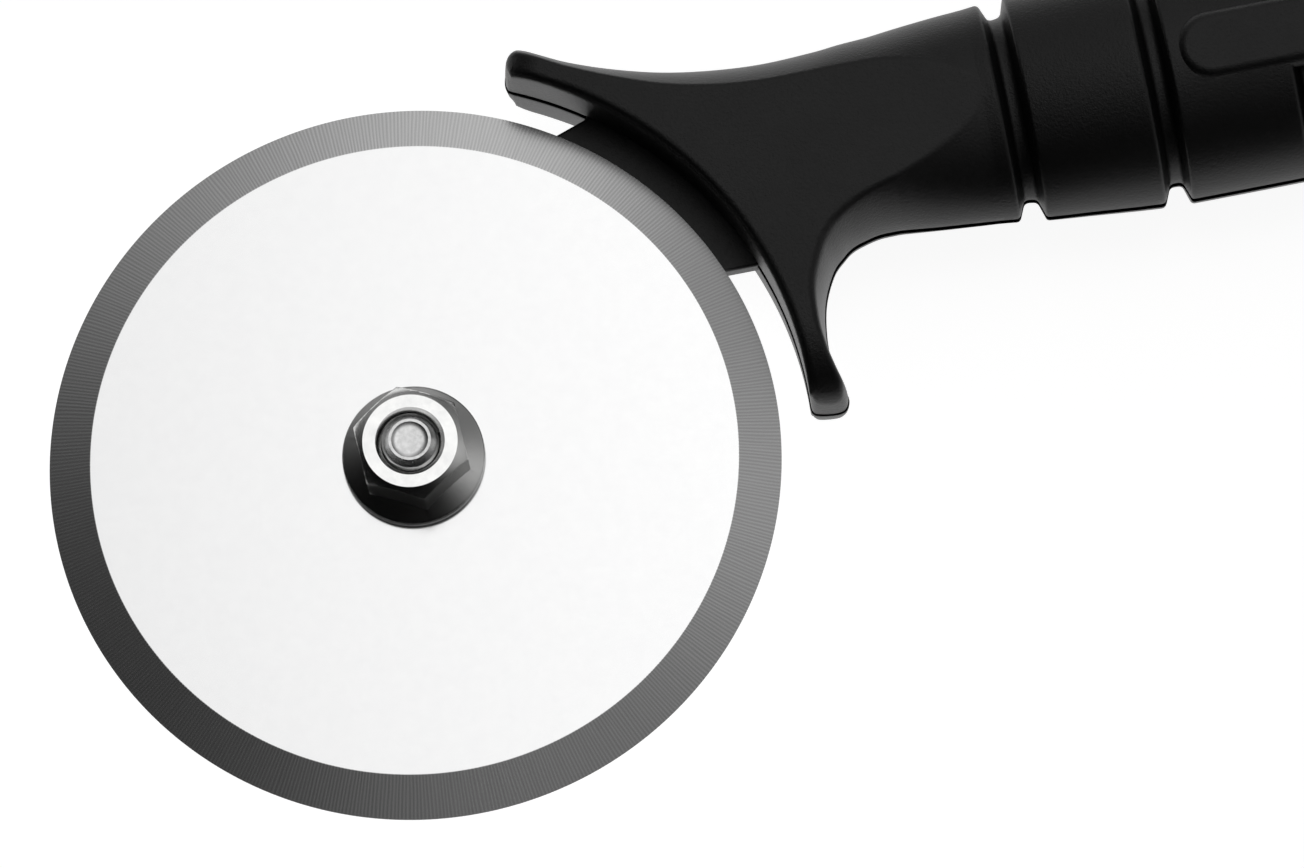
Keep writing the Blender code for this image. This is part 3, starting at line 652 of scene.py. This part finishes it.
def gripColumn(station, side, front):
    # foot and face edge of a column, the face's height, the flank's crown and the crease's reach
    along, drawn, scale = station
    half, frontCrown, backCrown = readTable(gripSections, along)
    crown = (frontCrown if front else backCrown) * scale - drawn
    half = half * scale - drawn
    drop = max(1 - (along - handle["neckStart"]) / handle["dropFade"], 0)
    axis = handle["axis"] - handle["neckDrop"] * drop
    spine = handle["axis"] + handle["tongueShift"] * (
        1 - eased(abs(along - handle["tongueEnd"]) / handle["shiftFade"]))
    edge = Vector((wallRadius + along, axis + side * half))
    faceEdge = Vector((edge.x, spine))
    face = crown
    if along < handle["tongueEnd"] - tolerance:
        sides = readTable(tongue, math.sqrt(handle["tongueEnd"] - along))
        faceEdge.y = handle["axis"] + sides[1 if side > 0 else 0]
        crown = face / math.sqrt(1 - ((faceEdge.y - spine) / (edge.y - spine)) ** 2)
    reach = handle["creaseTongue"] if front else handle["creaseBack"]
    return edge, faceEdge, face, crown, reach


def roundWheel(degrees, thickness):
    turn = math.radians(degrees)
    return Vector((math.cos(turn), math.sin(turn))) * (wallRadius + thickness)


def guardColumns(front):
    def row(edge, faceEdge):
        return Vector((*edge, *faceEdge))

    # the neck's first two stations give the horns a smooth start
    neck = [(handle["neckStart"] + lead, 0.0, 1.0) for lead in (1.5, 0.0)]
    below = [gripColumn(station, -1, front) for station in neck]
    above = [gripColumn(station, 1, front) for station in neck]
    lower = [row(roundWheel(*edge), roundWheel(*face)) for edge, face in lowerHorn]
    upper = [row(roundWheel(*edge), roundWheel(*face)) for edge, face in upperHorn]
    steps = handle["hornColumns"]
    lower = smoothPath([row(*column[:2]) for column in below] + lower, steps)[steps + 1:]
    upper = smoothPath(upper + [row(*column[:2]) for column in above[::-1]], steps)[:-steps - 1]
    first = lowerHorn[-1][0][0] + handle["wallInset"]
    last = upperHorn[0][0][0] - handle["wallInset"]
    flank = handle["wallFront"] if front else handle["wallBack"]
    wall = []
    for i in range(handle["wallColumns"]):
        degrees = first + (last - first) * i / (handle["wallColumns"] - 1)
        wall.append(row(roundWheel(degrees, 0.0), roundWheel(degrees, flank)))
    face = handle["guardFront"] if front else handle["guardBack"]
    columns = []
    for part, joint, crease in ((lower, below[1], handle["creaseLower"]),
                                (wall, None, handle["creaseWall"]),
                                (upper, above[1], handle["creaseUpper"])):
        for spot in part:
            edge = Vector(spot[:2])
            faceEdge = Vector(spot[2:])
            fade = eased((wallRadius + handle["neckStart"] - edge.x) / handle["guardFade"])
            crown = face * handle["guardCrown"]
            reach = crease if front else handle["creaseBack"]
            if joint:
                crown = joint[3] + (crown - joint[3]) * fade
                reach = joint[4] + (reach - joint[4]) * fade
            if not front:
                faceEdge = edge.lerp(faceEdge, 1.0 + handle["backRounding"] * fade)
            columns.append((edge, faceEdge, face, crown, reach))
    return columns


def columnProfile(width, height, crown, lip, reach):
    # (inset, height) from the seam up the flank and round the crease on to the flat face
    top = math.asin(min(height / crown, 1.0))
    low = math.asin(lip[-1][1] / crown)
    spread = 1 - math.cos(top)
    flankPace = math.hypot(width * math.sin(top) / spread, crown * math.cos(top))
    end = max(top - reach / flankPace, 0.5 * top) if reach else top

    def flank(angle):
        inset = lip[-1][0] + (width - lip[-1][0]) * (1 - math.cos(angle)) / spread
        return Vector((inset, crown * math.sin(angle)))

    profile = [Vector(spot) for spot in lip[:-1]]
    for i in range(handle["flankRows"] + 1):
        profile.append(flank(low + (end - low) * i / handle["flankRows"]))
    crease = Vector((width, height))
    start = profile[-1]
    onFace = Vector((width + reach, height))
    steps = handle["creaseRows"]
    return profile + [bend(start, crease, onFace, step / steps) for step in range(1, steps + 1)]


def roomAcross(spots, i, direction):
    # how far it is from one point of the flat face's edge to the other side of the face
    here = spots[i]
    side = Vector((-direction.y, direction.x))
    nearest = 30.0                    # more than any crease needs
    for j in range(len(spots) - 1):
        if abs(j - i) < 3 or abs(j + 1 - i) < 3:     # the point's own neighbours
            continue
        start = spots[j] - here
        end = spots[j + 1] - here
        low = start.dot(side)
        high = end.dot(side)
        if low * high > 0 or low == high:
            continue
        hit = start.lerp(end, low / (low - high)).dot(direction)
        if hit > 0:
            nearest = min(nearest, hit)
    return nearest


def thinNoses(piece, noses):
    # cuts a shell across near the ends of its horns, and lowers it there
    work = bmesh.new()
    work.from_mesh(piece.data)
    ahead = nose["gripAhead"] * mm
    for degrees, left, length in noses:
        inwards = 1 if degrees < nose["between"] else -1
        for i in range(nose["cuts"]):
            inset = nose["firstCut"] + length * (i / (nose["cuts"] - 1)) ** nose["crowding"]
            turn = math.radians(degrees) + inwards * inset / wallRadius
            near = [face for face in work.faces if min(vert.co.x for vert in face.verts) < ahead]
            edges = list({edge for face in near for edge in face.edges})
            verts = list({vert for face in near for vert in face.verts})
            bmesh.ops.bisect_plane(work, geom=verts + edges + near, dist=nose["snap"] * mm,
                                   plane_co=(0, 0, 0),
                                   plane_no=(-math.sin(turn), math.cos(turn), 0))
        for vert in work.verts:
            if vert.co.x > ahead:
                continue
            turn = math.atan2(vert.co.y, vert.co.x) - math.radians(degrees)
            share = min(max(inwards * turn * wallRadius / length, 0.0), 1.0)
            height = left + (1 - left) * math.sqrt(1 - (1 - share) ** 2)
            vert.co.z = seamHeight * mm + (vert.co.z - seamHeight * mm) * height
    work.to_mesh(piece.data)
    work.free()


def halfHandle(name, front):
    stations = gripStations()
    columns = [gripColumn(station, -1, front) for station in reversed(stations)]
    columns += guardColumns(front)
    columns += [gripColumn(station, 1, front) for station in stations]
    spots = [column[1] for column in columns]

    sign = 1 if front else -1
    lip = frontLip if front else backLip
    corners = []
    rows = 0
    for i, (edge, faceEdge, height, crown, reach) in enumerate(columns):
        across = faceEdge - edge
        width = across.length
        if height < crown - tolerance:
            room = roomAcross(spots, i, across.normalized())
            reach = min(reach, handle["creaseShare"] * room)
        else:
            reach = 0.0
        profile = columnProfile(width, height, crown, lip, reach)
        rows = len(profile)
        for inset, up in profile:
            spot = edge + across * (inset / width)
            corners.append((spot.x, spot.y, seamHeight + sign * up))
    faces = []
    for i in range(len(columns) - 1):
        for row in range(rows - 1):
            here = i * rows + row
            faces.append([here, here + rows, here + rows + 1, here + 1])
    count = len(columns)
    faces.append([i * rows for i in range(count)])
    faces.append(list(range(rows)) + [(count - 1) * rows + row for row in reversed(range(rows))])
    tip = handle["tongueEnd"] - tolerance
    beyond = len([station for station in stations if station[0] >= tip]) - 1
    faces.append([i * rows + rows - 1 for i in range(beyond, count - beyond)])
    piece = newPiece(name, corners, faces)
    thinNoses(piece, nose["front" if front else "back"])
    return piece


# The raised pad on the front of the grip

pad = {
    "length": 31.6,
    "width": 9.3,
    "rise": 0.25,                     # how far its middle lies above the handle's axis
    "proud": 0.4,
    "depth": 3.4,
    "rounding": 1.6,
    "segments": 7,
    "steps": 96,
}


def raisedPad():
    middle = wallRadius + grooveCentres[groove["count"] // 2]
    straight = 0.5 * (pad["length"] - pad["width"])
    outline = []
    for i in range(pad["steps"]):
        turn = 2 * math.pi * (i + 0.5) / pad["steps"]
        shift = math.copysign(straight, math.cos(turn))
        outline.append((middle + shift + 0.5 * pad["width"] * math.cos(turn),
                        handle["axis"] + pad["rise"] + 0.5 * pad["width"] * math.sin(turn)))
    top = seamHeight + handle["gripFront"] + pad["proud"]
    return slab("badge", outline, top - pad["depth"], top, pad["rounding"], pad["segments"])


# The arm behind the wheel, its hub and rib, all part of the back shell

arm = {
    "thickness": 2.6,
    "lowerEdge": 17.2,
    "upperDegrees": 54.1,             # where its upper side meets the guard
    "root": 2.5,                      # how far it runs on into the guard
    "rootSteps": 20,
    "sideSteps": 8,                   # between two points of a side
    "lowerBend": 35.0,                # where the lower side turns down to the hub
    "lowerSide": [(24.0, 13.3), (16.5, 7.1)],
    "upperSide": [(-11.3, 2.0), (-12.4, 10.0), (-10.4, 19.0), (-2.3, 27.8), (10.8, 34.0),
                  (23.3, 38.4)],
    "hubRadius": 11.5,
    "hubBottom": 2.6,
    "boreRadius": 4.3,
    "pocketFlats": 13.6,
    "pocketFloor": 5.6,
    "ribWidth": 3.2,
    "ribStart": 9.8,
    "edge": 0.4,
}


def armPlate():
    root = wallRadius + arm["root"]
    lowerRoot = (math.sqrt(root ** 2 - arm["lowerEdge"] ** 2), arm["lowerEdge"])
    # the lower side meets the hub just past the hub's widest point
    lowerSide = [(arm["lowerBend"], arm["lowerEdge"]), *arm["lowerSide"],
                 (arm["hubRadius"], -0.1 * arm["hubRadius"])]
    upperSide = [*arm["upperSide"], roundWheel(arm["upperDegrees"], 0.0)]
    first = arm["upperDegrees"] + 1.0
    last = math.degrees(math.atan2(lowerRoot[1], lowerRoot[0]))
    steps = arm["rootSteps"]
    rootArc = [roundWheel(first + (last - first) * i / steps, arm["root"]) for i in range(steps)]
    path = [lowerRoot] + smoothPath(lowerSide, arm["sideSteps"])
    path += smoothPath(upperSide, arm["sideSteps"]) + rootArc
    outline = [tuple(point) for point in path]
    return slab("arm", outline, seamHeight - arm["thickness"], seamHeight, arm["edge"])


def addArm(shell):
    combine(shell, armPlate(), "UNION")
    radius = arm["hubRadius"]
    profile = soften([(0, seamHeight), (radius, seamHeight), (radius, arm["hubBottom"]),
                      (0, arm["hubBottom"])], [0, 0.3, 0.6, 0])
    combine(shell, lathe("hub", profile, steps=96), "UNION")
    middle = 0.5 * (math.radians(arm["upperDegrees"]) + math.asin(arm["lowerEdge"] / wallRadius))
    start = arm["ribStart"]
    end = wallRadius + 0.5 * arm["root"]
    half = 0.5 * arm["ribWidth"]
    turned = Matrix.Rotation(middle, 2)
    outline = [tuple(turned @ Vector(spot)) for spot in rectangle(start, -half, end, half)]
    rib = slab("rib", outline, seamHeight - handle["guardBack"] + 0.5 * arm["thickness"],
               seamHeight - 0.5 * arm["thickness"], arm["edge"])
    combine(shell, rib, "UNION")
    top = seamHeight + 2 * overshoot
    bore = lathe("bore", [(0, top), (arm["boreRadius"], top), (arm["boreRadius"], -overshoot),
                          (0, -overshoot)], steps=64)
    combine(shell, bore, "DIFFERENCE")
    pocket = slab("pocket", hexagonOutline(arm["pocketFlats"], 0), -overshoot, arm["pocketFloor"])
    combine(shell, pocket, "DIFFERENCE")


# The screws that join the shells, and their holes

screw = {
    "radius": 2.0,
    "hole": 2.3,
    "headRadius": 3.5,
    "headHeight": 2.4,
    "headEdge": 1.3,
    "headTop": 0.68,                  # radius of the head's flat top, as a share of the head's
    "length": 10.5,
    "tipRadius": 0.8,
    "tipLength": 1.5,
    "clearance": 0.3,                 # along the screw, at its tip and under its head
    "sink": 4.1,                      # radius of the hole that the head sinks into
    "recessLength": 3.5,
    "recessWidth": 0.8,
    "recessDepth": 1.4,
}
screwNodes = [name for name in allNodes if name.startswith("shell_screw_")]


def screwSeat(node):                  # the middle of a screw, and where its head seats
    low, high = nodeBox(node)
    return 0.5 * (low.x + high.x), 0.5 * (low.y + high.y), high.z - screw["length"]


def screwHole(node):
    x, y, seat = screwSeat(node)
    top = seat + screw["length"] + screw["clearance"]
    profile = [(0, top), (screw["hole"], top), (screw["hole"], seat), (screw["sink"], seat),
               (screw["sink"], -2 * overshoot), (0, -2 * overshoot)]
    hole = lathe("hole", profile, steps=48)
    hole.location = Vector((x, y, 0)) * mm
    return hole


def panScrew():
    radius = screw["radius"]
    head = screw["headRadius"]
    tall = screw["headHeight"]
    under = -screw["clearance"]
    profile = soften([(0, screw["length"]), (screw["tipRadius"], screw["length"]),
                      (radius, screw["length"] - screw["tipLength"]), (radius, under), (head, under),
                      (head, -screw["headEdge"]), (screw["headTop"] * head, -tall), (0, -tall)],
                     [0, 0, 0, 0, 0.12, 0.5, 1.2, 0])
    piece = lathe("screw", profile, steps=64)
    long = 0.5 * screw["recessLength"]
    short = 0.5 * screw["recessWidth"]
    for reachX, reachY in ((long, short), (short, long)):
        outline = rectangle(-reachX, -reachY, reachX, reachY)
        slot = slab("slot", outline, -tall - overshoot, -tall + screw["recessDepth"])
        combine(piece, slot, "DIFFERENCE")
    return piece


front = halfHandle("frontShell", True)
combine(front, raisedPad(), "UNION")
back = halfHandle("backShell", False)
addArm(back)
for node in screwNodes:
    combine(back, screwHole(node), "DIFFERENCE")
    combine(front, screwHole(node), "DIFFERENCE")
dress(front, blackNylon, "handle", ["handle_front_shell"])
dress(back, blackNylon, "handle", ["handle_back_shell"])

pattern = panScrew()
for node in screwNodes:
    piece = pattern.copy()
    piece.name = node.replace("shell_screw_", "panScrew")
    piece.data = pattern.data.copy()
    bpy.context.scene.collection.objects.link(piece)
    piece.location = Vector(screwSeat(node)) * mm
    dress(piece, screwSteel, "handle", [node])
bpy.data.objects.remove(pattern, do_unlink=True)


# The wheel

wheel = {
    "edgeLand": 0.2,                  # height of the cutting edge over the wheel's back
    "edgeRounding": 0.06,
    "chamferWidth": 0.15,             # of the back's edge
    "chamferHeight": 0.05,
    "steps": 360,
}


def buildWheel():
    low = bladeLow.z
    high = bladeHigh.z
    bore = sleeveRadius + sleeveGap
    rim = wheelRadius
    profile = soften([(bore, high), (rim - bevelWidth, high), (rim, low + wheel["edgeLand"]),
                      (rim, low + wheel["chamferHeight"]), (rim - wheel["chamferWidth"], low),
                      (bore, low)],
                     [0.1, wheel["edgeRounding"], 0.03, 0.01, 0.03, 0.1], steps=2, closed=True)
    piece = lathe("wheel", profile, wheel["steps"])
    dress(piece, bladeSteel, "wheel", ["blade"], sharpDegrees=40)


buildWheel()


# The axle: bolt, nut, sleeve and washer

axle = {
    "flats": 13.0,
    "chamferRadius": 5.95,
    "chamferDegrees": 38,
    "chamferBow": 0.25,               # how much of its slope builds up towards the corners
    "headHeight": 5.3,
    "shank": 4.0,
    "threadRadius": 3.6,
    "threadDepth": 0.42,
    "threadRoot": 0.12,               # width of the root, and of both flanks, as shares of the pitch
    "threadFlanks": 0.74,
    "threadRunIn": 0.6,               # how far below the nut the thread starts
    "shoulder": 0.5,                  # slope from the shank into the thread
    "threadSides": 96,
    "threadRows": 22,                 # for each turn of the thread
    "pitch": 1.25,
    "boreGap": 0.3,                   # between the threads of the bolt and of the nut
    "boreDepth": 0.22,
    "endRadius": 2.65,
    "endChamfer": 1.0,
    "endRim": 0.12,                   # the bolt's end is a little hollow inside a rim
    "rimWidth": 0.3,
    "rimSlope": 0.45,                 # width of the slope from the rim to the hollow's floor
    "nutCorner": -27.0,
    "flangeRadius": 8.95,
    "flangeRim": 1.1,                 # height of the flange's upright rim
    "flangeChamfer": 0.1,             # half as wide as it is high
    "flangeHeight": 2.5,
    "flangeTop": 6.1,
    "countersink": 0.45,
    "countersinkDepth": 0.7,
    "edge": 0.12,
}


def threaded(name, bottom, top, radiusAt):
    # a body between two heights whose radius follows a thread; radiusAt takes height and turn
    sides = axle["threadSides"]
    levels = int((top - bottom) / axle["pitch"] * axle["threadRows"]) + 1
    corners = []
    for level in range(levels + 1):
        height = bottom + (top - bottom) * level / levels
        for i in range(sides):
            turn = i / sides
            corners.append((*ringPoint(radiusAt(height, turn), 2 * math.pi * turn), height))
    faces = []
    for level in range(levels):
        here = level * sides
        for i in range(sides):
            j = (i + 1) % sides
            faces.append([here + i, here + j, here + sides + j, here + sides + i])
    faces.append(list(range(sides)))
    faces.append([levels * sides + i for i in range(sides)])
    return newPiece(name, corners, faces)


def threadWave(height, turn):         # 0 at a root and 1 at a crest
    phase = (height / axle["pitch"] - turn) % 1.0
    rise = abs(2 * phase - 1)
    return min(max((rise - axle["threadRoot"]) / axle["threadFlanks"], 0.0), 1.0)


def boltRadius(height, turn):
    crest = axle["threadRadius"]
    root = crest - axle["threadDepth"]
    end = boltHigh.z
    taper = axle["endRadius"] + (end - height) * (crest - axle["endRadius"]) / axle["endChamfer"]
    return min(root + axle["threadDepth"] * threadWave(height, turn), taper)


def nutBoreRadius(height, turn):
    root = axle["threadRadius"] + axle["boreGap"]
    crest = root - axle["boreDepth"] * threadWave(height, turn)
    depth = nutHigh.z - height
    sunk = root + axle["countersink"] - depth * axle["countersink"] / axle["countersinkDepth"]
    return max(crest, sunk)


def hexBlank(name, low, high, cornerDegrees, chamferAtTop):
    corner = axle["flats"] / math.sqrt(3)
    start = axle["chamferRadius"]
    drop = (corner - start) * math.tan(math.radians(axle["chamferDegrees"]))
    blank = slab(name, hexagonOutline(axle["flats"], cornerDegrees), low, high)
    face = high if chamferAtTop else low
    away = -1 if chamferAtTop else 1
    far = low - overshoot if chamferAtTop else high + overshoot
    bow = axle["chamferBow"]
    steps = 8
    profile = [(0, face)]
    for i in range(steps + 1):
        profile.append((start + (corner - start) * i / steps,
                        face + away * drop * ((1 - bow) * i / steps + bow * (i / steps) ** 2)))
    outside = corner + 2 * overshoot
    profile += [(outside, face + away * drop), (outside, far), (0, far)]
    combine(blank, lathe("cone", profile, steps=144), "INTERSECT")
    return blank


def softEdges(piece):
    roundEdges(piece, axle["edge"], segments=2, degrees=28)
    settle(piece)


def buildBolt():
    bolt = hexBlank("bolt", boltLow.z, boltLow.z + axle["headHeight"], 0, False)
    softEdges(bolt)
    inside = boltLow.z + 0.5 * axle["headHeight"]
    threadStart = nutLow.z - axle["threadRunIn"]
    shankEnd = threadStart + axle["shoulder"]
    profile = soften([(0, shankEnd), (axle["threadRadius"] - axle["shoulder"], shankEnd),
                      (axle["shank"], threadStart), (axle["shank"], inside), (0, inside)],
                     [0, 0, 0.1, 0, 0])
    combine(bolt, lathe("shank", profile, steps=64), "UNION")
    combine(bolt, threaded("thread", threadStart, boltHigh.z, boltRadius), "UNION")
    end = boltHigh.z
    floor = end - axle["endRim"]
    rim = axle["endRadius"] - axle["rimWidth"]
    hollow = soften([(0, floor), (rim - axle["rimSlope"], floor), (rim, end), (rim, end + overshoot),
                     (0, end + overshoot)], [0, 0.3, 0.1, 0, 0])
    combine(bolt, lathe("hollow", hollow, steps=96), "DIFFERENCE")
    dress(bolt, boltSteel, "handle", ["axle_bolt"], sharpDegrees=38)


def buildNut():
    nut = hexBlank("nut", nutLow.z, nutHigh.z, axle["nutCorner"], True)
    rim = axle["flangeRadius"]
    chamfer = axle["flangeChamfer"]
    base = nutLow.z
    top = base + axle["flangeHeight"]
    rimTop = base + axle["flangeRim"]
    profile = soften([(0, top), (axle["flangeTop"], top), (rim - chamfer, rimTop),
                      (rim, rimTop - 2 * chamfer), (rim, base), (0, base)],
                     [0, 0, 0.25, 0.15, 0.2, 0])
    combine(nut, lathe("flange", profile, steps=144), "UNION")
    softEdges(nut)
    bore = threaded("bore", nutLow.z - 0.5 * overshoot, nutHigh.z + 0.5 * overshoot, nutBoreRadius)
    combine(nut, bore, "DIFFERENCE")
    dress(nut, nutSteel, "handle", ["flange_nut"], sharpDegrees=30)


def buildRing(name, node, inner, rounding, finish):
    low, high = nodeBox(node)
    profile = soften([(inner, high.z), (high.x, high.z), (high.x, low.z), (inner, low.z)],
                     rounding, closed=True)
    dress(lathe(name, profile, steps=128), finish, "handle", [node])


buildBolt()
buildNut()
buildRing("sleeve", "axle_sleeve", arm["boreRadius"], 0.15, sleeveBronze)
buildRing("washer", "rear_washer", sleeveRadius + sleeveGap, 0.12, washerNylon)


# Floor, light and camera

studio = {
    "floorSize": 6000.0,
    "floorTop": -0.2,                 # just under the knife, which rests at a height of 0
    "floorDepth": 20.0,
    "floorColour": (0.40, 0.40, 0.40, 1),
    "floorRoughness": 0.85,
    "floorGloss": 0.2,
    "floorGlow": 0.92,
    "cameraTilt": 14.9,               # degrees, from straight down
    "cameraRoll": 2.35,
    "handleTurn": 11.3,
    "cameraDistance": 1254.5,
    "cameraShift": (29.7, 3.56),
    "cameraReach": (0.05, 20.0),      # nearest and furthest that it sees, in metres
    "focalPixels": 10000.0,
    "photoWidth": 1304,
    "darkness": 0.002,                # strength of the surroundings between the lights
}

# soft lights round the knife: direction as the picture shows it, strength, and how narrow they are
softLights = [((0.02, 0.26, 0.97), 1.60, 37.0),       # large and overhead, towards the picture's top
              ((0.03, 0.64, 0.77), 0.65, 45.0),       # beyond it
              ((-0.27, 0.50, 0.82), 0.25, 45.0),      # its left part
              ((0.46, 0.23, 0.86), 0.21, 45.0),       # high, from the right
              ((0.04, -0.18, 0.98), 0.17, 45.0),      # high, from below the picture
              ((0.02, 0.87, 0.50), 0.31, 18.0),       # low, beyond the top of the picture
              ((0.67, 0.03, 0.72), 0.28, 18.0),       # from the right
              ((0.93, 0.05, 0.31), 0.38, 9.0),        # low, from the right
              ((0.64, 0.70, 0.31), 0.15, 10.0),       # low, from the top right
              ((-0.50, 0.80, 0.31), 0.24, 8.0)]       # low, from the top left


def buildFloor():
    half = 0.5 * studio["floorSize"]
    floor = slab("floor", rectangle(-half, -half, half, half),
                 studio["floorTop"] - studio["floorDepth"], studio["floorTop"])
    finish = newFinish("pale floor")
    finish.shader(Base_Color=studio["floorColour"], Roughness=studio["floorRoughness"],
                  Specular_IOR_Level=studio["floorGloss"],
                  Emission_Color=(1, 1, 1, 1), Emission_Strength=studio["floorGlow"])
    floor.data.materials.append(finish.owner)


def buildLight():
    world = bpy.data.worlds.new("studio")
    bpy.context.scene.world = world
    finish = Finish(world)
    direction = finish.node("ShaderNodeTexCoord", output=0)
    turned = Matrix.Rotation(math.radians(-studio["handleTurn"]), 3, "Z")
    strength = studio["darkness"]
    for towards, glow, narrowness in softLights:
        facing = finish.node("ShaderNodeVectorMath", {"operation": "DOT_PRODUCT"},
                             {0: direction, 1: turned @ Vector(towards).normalized()}, output=1)
        strength = ((facing - 1) * narrowness).maths("EXPONENT") * glow + strength
    background = finish.tree.nodes["Background"]
    finish.feed(background.inputs["Color"], (1, 1, 1, 1))
    finish.feed(background.inputs["Strength"], strength)


def buildCamera():
    lens = bpy.data.cameras.new("camera")
    lens.sensor_width = 36
    lens.lens = studio["focalPixels"] / studio["photoWidth"] * lens.sensor_width
    lens.clip_start, lens.clip_end = studio["cameraReach"]
    camera = bpy.data.objects.new("camera", lens)
    bpy.context.scene.collection.objects.link(camera)
    shiftX, shiftY = studio["cameraShift"]
    offset = Vector((shiftX, shiftY, studio["cameraDistance"])) * mm
    camera.matrix_world = (Matrix.Translation((0, 0, bladeLow.z * mm))
                           @ Matrix.Rotation(math.radians(-studio["handleTurn"]), 4, "Z")
                           @ Matrix.Rotation(math.radians(studio["cameraTilt"]), 4, "X")
                           @ Matrix.Rotation(math.radians(studio["cameraRoll"]), 4, "Y")
                           @ Matrix.Translation(offset))
    bpy.context.scene.camera = camera


buildFloor()
buildLight()
buildCamera()
bpy.context.scene.view_settings.view_transform = "Standard"
print("studio ready")
